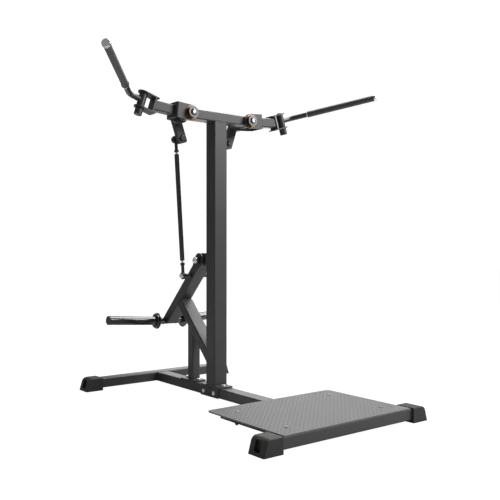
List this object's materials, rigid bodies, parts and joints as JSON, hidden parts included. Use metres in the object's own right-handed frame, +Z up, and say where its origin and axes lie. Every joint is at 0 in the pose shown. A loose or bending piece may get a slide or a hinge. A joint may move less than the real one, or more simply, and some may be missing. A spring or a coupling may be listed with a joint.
{
  "type": "plate-loaded standing pull-down machine",
  "caption": "Free-standing plate-loaded gym machine: a column on a split-tube base with a standing platform, swinging arms with swivel handles, and rods to a weight lever with plate horns.",
  "frame": {"origin": "under the middle of the footprint, on the floor", "axes": "+X to the right of someone on the platform facing the column, +Y from the platform towards the weight lever, +Z up"},
  "size_m": [1.662, 1.622, 1.6389],
  "materials": {
    "frame_paint": "satin powder coat",
    "tread_coat": "matt anti-slip coat",
    "foot_rubber": "matt moulded",
    "stop_rubber": "matt",
    "zinc": "bright zinc plate",
    "pivot_steel": "satin",
    "bronze": "oiled bronze",
    "horn_paint": "semi-gloss",
    "cap_plastic": "fine grain",
    "grip_rubber": "knurled",
    "fitting_chrome": "bright",
    "rod_black": "semi-gloss",
    "rod_end_steel": "satin"
  },
  "bodies": {
    "frame": {"rear_cross_tube": "frame_paint", "front_cross_tube": "frame_paint", "left_front_foot": "foot_rubber", "right_front_foot": "foot_rubber", "left_rear_foot": "foot_rubber", "right_rear_foot": "foot_rubber", "rear_rail": "frame_paint", "front_rail": "frame_paint", "rail_sleeve": "frame_paint", "rail_joint_plates": "frame_paint", "frame_bolts": "zinc", "column": "frame_paint", "base_plates": "frame_paint", "crossbar": "frame_paint", "arm_pivot_tubes": "frame_paint", "arm_pivot_bolts": "pivot_steel", "post": "frame_paint", "brace": "frame_paint", "lever_stop_pad": "stop_rubber", "lever_bracket": "frame_paint", "lever_pivot_bolt": "zinc", "platform_plate": "tread_coat", "platform_bars": "frame_paint", "platform_bolts": "zinc"},
    "weight_lever": {"weight_lever_head": "frame_paint", "weight_lever_tube": "frame_paint", "lever_bushes": "rod_end_steel", "left_plate_horn": "horn_paint", "right_plate_horn": "horn_paint", "horn_flanges": "horn_paint", "horn_caps": "cap_plastic", "rod_lower_bolts": "zinc"},
    "left_arm": {"left_arm_bracket": "frame_paint", "left_arm_tube": "frame_paint", "left_arm_bushes": "bronze", "left_crank_lever": "frame_paint", "left_crank_bolt": "zinc", "left_clevis": "frame_paint", "left_swivel_pin": "pivot_steel"},
    "left_handle": {"left_handle_bar": "frame_paint", "left_hand_grip": "grip_rubber", "left_grip_fittings": "fitting_chrome"},
    "left_rod_joint": {"left_rod_ball": "rod_end_steel"},
    "left_rod": {"left_rod_tube": "rod_black", "left_rod_lower_end": "rod_end_steel", "left_rod_upper_end": "rod_end_steel"},
    "right_arm": {"right_arm_bracket": "frame_paint", "right_arm_tube": "frame_paint", "right_arm_bushes": "bronze", "right_crank_lever": "frame_paint", "right_crank_bolt": "zinc", "right_clevis": "frame_paint", "right_swivel_pin": "pivot_steel"},
    "right_handle": {"right_handle_bar": "frame_paint", "right_hand_grip": "grip_rubber", "right_grip_fittings": "fitting_chrome"},
    "right_rod_joint": {"right_rod_ball": "rod_end_steel"},
    "right_rod": {"right_rod_tube": "rod_black", "right_rod_lower_end": "rod_end_steel", "right_rod_upper_end": "rod_end_steel"}
  },
  "joints": [
    {"name": "weight_lever_swing", "type": "hinge", "parent": "frame", "child": "weight_lever", "pos_m": [0, 0.2835, 0.72], "axis": [1, 0, 0], "range_deg": [0, 34.22]},
    {"name": "left_arm_swing", "type": "hinge", "parent": "frame", "child": "left_arm", "pos_m": [-0.188, 0.1715, 1.465], "axis": [0, -1, 0], "range_deg": [0, 45]},
    {"name": "left_rod_pitch", "type": "hinge", "parent": "weight_lever", "child": "left_rod_joint", "pos_m": [-0.088, 0.3575, 0.636], "axis": [1, 0, 0], "range_deg": [-31.51, 0]},
    {"name": "left_rod_roll", "type": "hinge", "parent": "left_rod_joint", "child": "left_rod", "pos_m": [-0.088, 0.3575, 0.636], "axis": [0, -0.9993, -0.0387], "range_deg": [-5.08, 0]},
    {"name": "left_handle_swivel", "type": "hinge", "parent": "left_arm", "child": "left_handle", "pos_m": [-0.4425, 0.1715, 1.501], "axis": [-0.304, 0, -0.9527], "range_deg": [0, 60]},
    {"name": "right_arm_swing", "type": "hinge", "parent": "frame", "child": "right_arm", "pos_m": [0.188, 0.1715, 1.465], "axis": [0, 1, 0], "range_deg": [0, 45]},
    {"name": "right_rod_pitch", "type": "hinge", "parent": "weight_lever", "child": "right_rod_joint", "pos_m": [0.088, 0.3575, 0.636], "axis": [1, 0, 0], "range_deg": [-31.51, 0]},
    {"name": "right_rod_roll", "type": "hinge", "parent": "right_rod_joint", "child": "right_rod", "pos_m": [0.088, 0.3575, 0.636], "axis": [0, -0.9993, -0.0387], "range_deg": [0, 5.08]},
    {"name": "right_handle_swivel", "type": "hinge", "parent": "right_arm", "child": "right_handle", "pos_m": [0.4425, 0.1715, 1.501], "axis": [-0.304, 0, 0.9527], "range_deg": [0, 60]}
  ],
  "couplings": [
    {"joint": "left_arm_swing", "follows": "weight_lever_swing", "ratio": 1.3149},
    {"joint": "left_rod_pitch", "follows": "weight_lever_swing", "ratio": -0.92074},
    {"joint": "left_rod_roll", "follows": "weight_lever_swing", "ratio": -0.14815},
    {"joint": "right_arm_swing", "follows": "weight_lever_swing", "ratio": 1.3149},
    {"joint": "right_rod_pitch", "follows": "weight_lever_swing", "ratio": -0.92074},
    {"joint": "right_rod_roll", "follows": "weight_lever_swing", "ratio": 0.14815}
  ]
}
